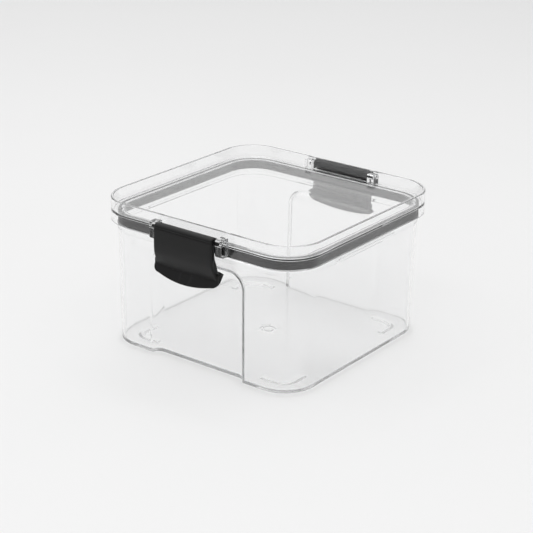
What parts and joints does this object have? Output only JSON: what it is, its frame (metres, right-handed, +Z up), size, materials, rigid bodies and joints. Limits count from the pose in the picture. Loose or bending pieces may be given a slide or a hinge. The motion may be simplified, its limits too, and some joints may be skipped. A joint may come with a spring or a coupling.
{
  "type": "lidded food canister",
  "caption": "Square clear plastic food canister with rounded corners, a clear lid with a raised stacking rim, a dark gasket ring and black swinging side latches.",
  "frame": {"origin": "centre of the footprint, at the plane of the corner feet on the table", "axes": "+Z up; the latches are on the -Y and +Y sides, and -Y is called the front; +X is to the right seen from the front"},
  "size_m": [0.13, 0.145, 0.0815],
  "materials": {
    "clear_plastic": "clear polished moulded plastic",
    "gasket_silicone": "satin dark grey silicone",
    "latch_plastic": "satin black moulded plastic"
  },
  "bodies": {
    "container": {"container": "clear_plastic"},
    "lid": {"lid": "clear_plastic", "gasket": "gasket_silicone"},
    "latch_front": {"latch_front": "latch_plastic"},
    "latch_back": {"latch_back": "latch_plastic"}
  },
  "joints": [
    {"name": "lid_lift", "type": "slide", "parent": "container", "child": "lid", "axis": [0, 0, 1], "range_m": [0, 0.1]},
    {"name": "latch_front_swing", "type": "hinge", "parent": "lid", "child": "latch_front", "pos_m": [0, -0.0693, 0.0765], "axis": [-1, 0, 0], "range_deg": [0, 120]},
    {"name": "latch_back_swing", "type": "hinge", "parent": "lid", "child": "latch_back", "pos_m": [0, 0.0693, 0.0765], "axis": [1, 0, 0], "range_deg": [0, 120]}
  ]
}
